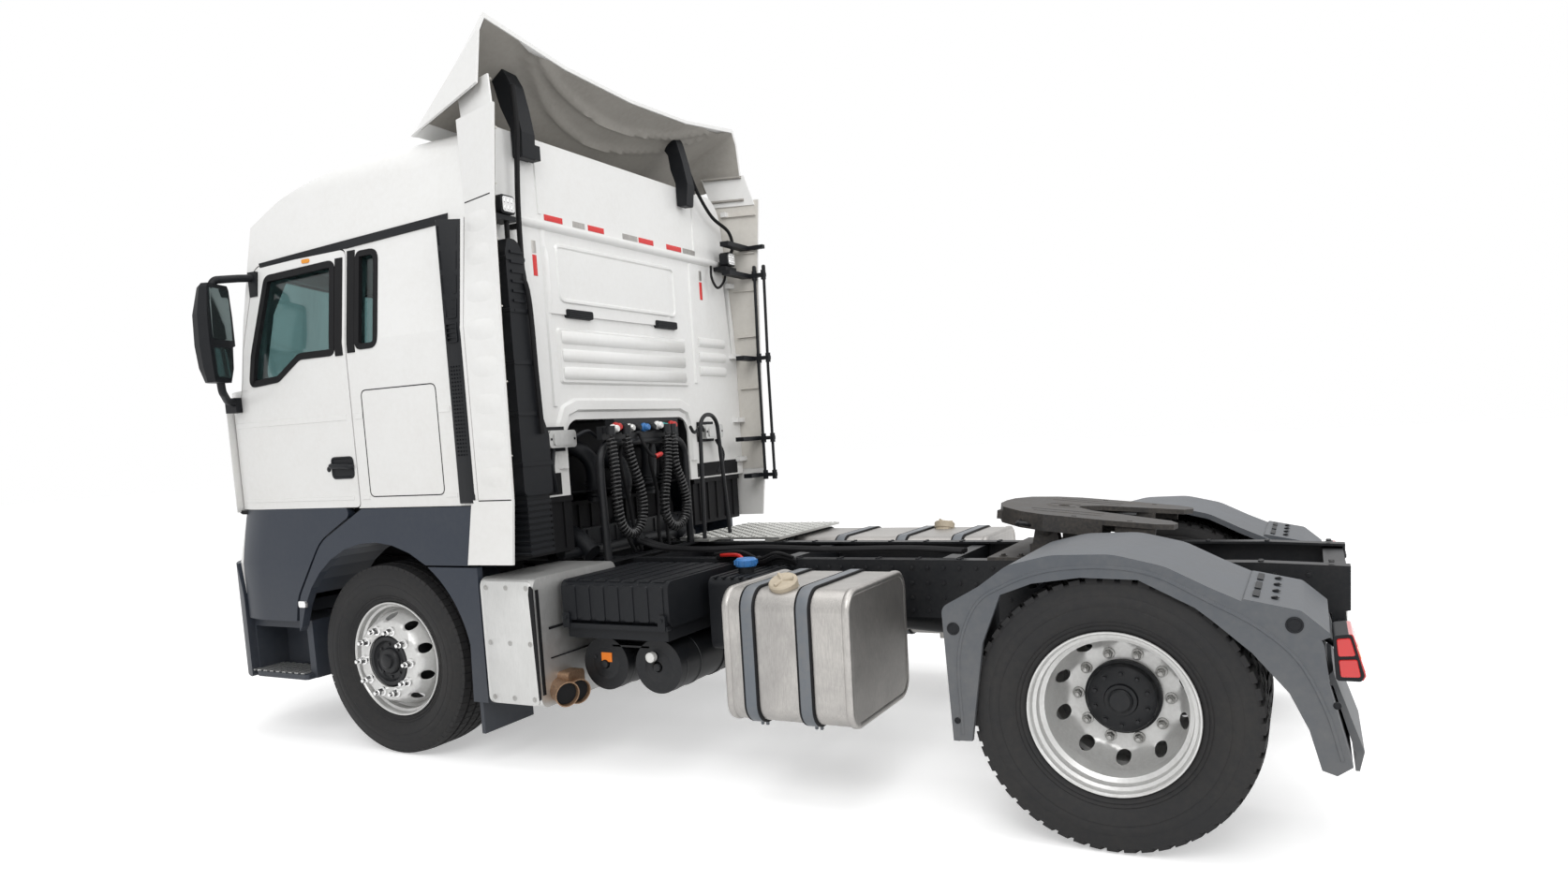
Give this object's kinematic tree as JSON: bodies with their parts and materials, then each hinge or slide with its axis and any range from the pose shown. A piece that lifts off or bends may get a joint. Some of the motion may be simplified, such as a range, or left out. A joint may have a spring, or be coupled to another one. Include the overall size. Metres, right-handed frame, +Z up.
{
  "type": "semi truck tractor unit",
  "caption": "Cab-over road tractor with a high-roof sleeper cab, side tanks, curly air lines and a fifth-wheel coupling over twin-tyred rear wheels.",
  "frame": {"origin": "centre of the footprint on the ground, halfway between bumper and tail lamps", "axes": "+X forward, +Y to the truck's left, +Z up"},
  "size_m": [5.8549, 2.9818, 3.522],
  "materials": {
    "cab_white": "off-white paint, dusty",
    "lower_grey": "dark slate-grey panels, dusty",
    "black_plastic": "black grained plastic",
    "frame_black": "black chassis paint, dusty",
    "tyre_rubber": "worn tyre rubber",
    "rim_silver": "silver wheel paint, brake dust",
    "tank_aluminium": "brushed sheet",
    "box_aluminium": "satin cover sheet",
    "tread_plate": "five-bar tread plate",
    "glass": "tinted glass",
    "coupling_iron": "weathered and greasy",
    "lamp_red": "red lens in a black frame",
    "mudguard_grey": "grey plastic, dirty",
    "line_plastic": "black coiled plastic tube",
    "trim_fabric": "grey cloth and trim"
  },
  "bodies": {
    "chassis": {"frame_rails": "frame_black", "frame_crossmembers": "frame_black", "powertrain": "frame_black", "front_axle": "frame_black", "rear_axle": "frame_black", "fuel_tanks": "tank_aluminium", "battery_box": "black_plastic", "air_tanks": "frame_black", "exhaust_box": "box_aluminium", "catwalk": "tread_plate", "rear_mudguards": "mudguard_grey", "lamps": "lamp_red", "front_bumper": "lower_grey", "front_mudguards": "lower_grey", "fifth_wheel_base": "coupling_iron", "service_frame": "frame_black", "air_line_left": "line_plastic", "air_line_right": "line_plastic"},
    "fifth_wheel": {"fifth_wheel_plate": "coupling_iron"},
    "cab": {"cab_shell": "cab_white", "cab_roof": "cab_white", "cab_rear_wall": "cab_white", "cab_glass": "glass", "front_grille": "cab_white", "roof_deflector": "cab_white", "deflector_arms": "black_plastic", "side_fins": "cab_white", "cab_fenders": "lower_grey", "cab_interior": "trim_fabric", "air_intake": "black_plastic"},
    "door_left": {"door_left": "cab_white", "door_cladding_left": "lower_grey", "door_glass_left": "glass", "mirror_left": "black_plastic"},
    "door_right": {"door_right": "cab_white", "door_cladding_right": "lower_grey", "door_glass_right": "glass", "mirror_right": "black_plastic"},
    "knuckle_left": {"knuckle_left": "frame_black"},
    "knuckle_right": {"knuckle_right": "frame_black"},
    "track_rod": {"track_rod": "frame_black"},
    "wheel_front_left": {"front_tyre_left": "tyre_rubber", "front_rim_left": "rim_silver"},
    "wheel_front_right": {"front_tyre_right": "tyre_rubber", "front_rim_right": "rim_silver"},
    "wheels_rear_left": {"rear_tyres_left": "tyre_rubber", "rear_rims_left": "rim_silver"},
    "wheels_rear_right": {"rear_tyres_right": "tyre_rubber", "rear_rims_right": "rim_silver"}
  },
  "joints": [
    {"name": "cab_tilt", "type": "hinge", "parent": "chassis", "child": "cab", "pos_m": [2.8125, 0, 0.78], "axis": [0, 1, 0], "range_deg": [0, 60]},
    {"name": "fifth_wheel_rocking", "type": "hinge", "parent": "chassis", "child": "fifth_wheel", "pos_m": [-1.7475, 0, 1.08], "axis": [0, 1, 0], "range_deg": [0, 16]},
    {"name": "door_left", "type": "hinge", "parent": "cab", "child": "door_left", "pos_m": [2.5475, 1.229, 1.5], "axis": [0, 0, -1], "range_deg": [0, 75]},
    {"name": "door_right", "type": "hinge", "parent": "cab", "child": "door_right", "pos_m": [2.5475, -1.229, 1.5], "axis": [0, 0, 1], "range_deg": [0, 75]},
    {"name": "steer_left", "type": "hinge", "parent": "chassis", "child": "knuckle_left", "pos_m": [1.4525, 0.85, 0.502], "axis": [0, 0, 1], "range_deg": [-40, 40]},
    {"name": "steer_right", "type": "hinge", "parent": "chassis", "child": "knuckle_right", "pos_m": [1.4525, -0.85, 0.502], "axis": [0, 0, 1], "range_deg": [-40, 40]},
    {"name": "track_rod_pivot", "type": "hinge", "parent": "knuckle_left", "child": "track_rod", "pos_m": [1.2625, 0.85, 0.342], "axis": [0, 0, 1], "range_deg": [-40, 40]},
    {"name": "wheel_front_left_spin", "type": "hinge", "parent": "knuckle_left", "child": "wheel_front_left", "pos_m": [1.4525, 1.024, 0.502], "axis": [0, 1, 0], "continuous": true},
    {"name": "wheel_front_right_spin", "type": "hinge", "parent": "knuckle_right", "child": "wheel_front_right", "pos_m": [1.4525, -1.024, 0.502], "axis": [0, 1, 0], "continuous": true},
    {"name": "wheels_rear_left_spin", "type": "hinge", "parent": "chassis", "child": "wheels_rear_left", "pos_m": [-2.1475, 0.902, 0.502], "axis": [0, 1, 0], "continuous": true},
    {"name": "wheels_rear_right_spin", "type": "hinge", "parent": "chassis", "child": "wheels_rear_right", "pos_m": [-2.1475, -0.902, 0.502], "axis": [0, 1, 0], "continuous": true}
  ],
  "couplings": [
    {"joint": "steer_right", "follows": "steer_left", "ratio": 1},
    {"joint": "track_rod_pivot", "follows": "steer_left", "ratio": -1}
  ]
}
